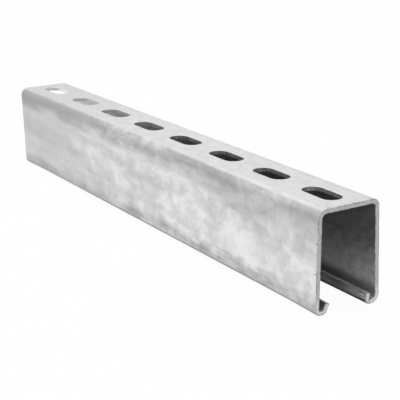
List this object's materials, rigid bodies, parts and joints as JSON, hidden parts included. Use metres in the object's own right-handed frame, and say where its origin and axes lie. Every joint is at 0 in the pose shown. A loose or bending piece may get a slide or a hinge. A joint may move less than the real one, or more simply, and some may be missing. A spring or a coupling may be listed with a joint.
{
  "type": "slotted strut channel",
  "caption": "Deep C-section steel strut channel with inturned lips along its open side and a row of long slots along its web.",
  "frame": {"origin": "centre of the bounding box's bottom: the middle of the length, midway between the legs, on the floor that the lips rest on", "axes": "+X along the channel, +Y across it, +Z out of the slotted web; the open side faces -Z"},
  "size_m": [0.4064, 0.044, 0.0619],
  "materials": {
    "galvanised_steel": "hot-dip galvanised, dull mottled zinc with light scratches; cut ends of bare steel"
  },
  "bodies": {
    "root": {"strut_channel": "galvanised_steel"}
  },
  "joints": []
}
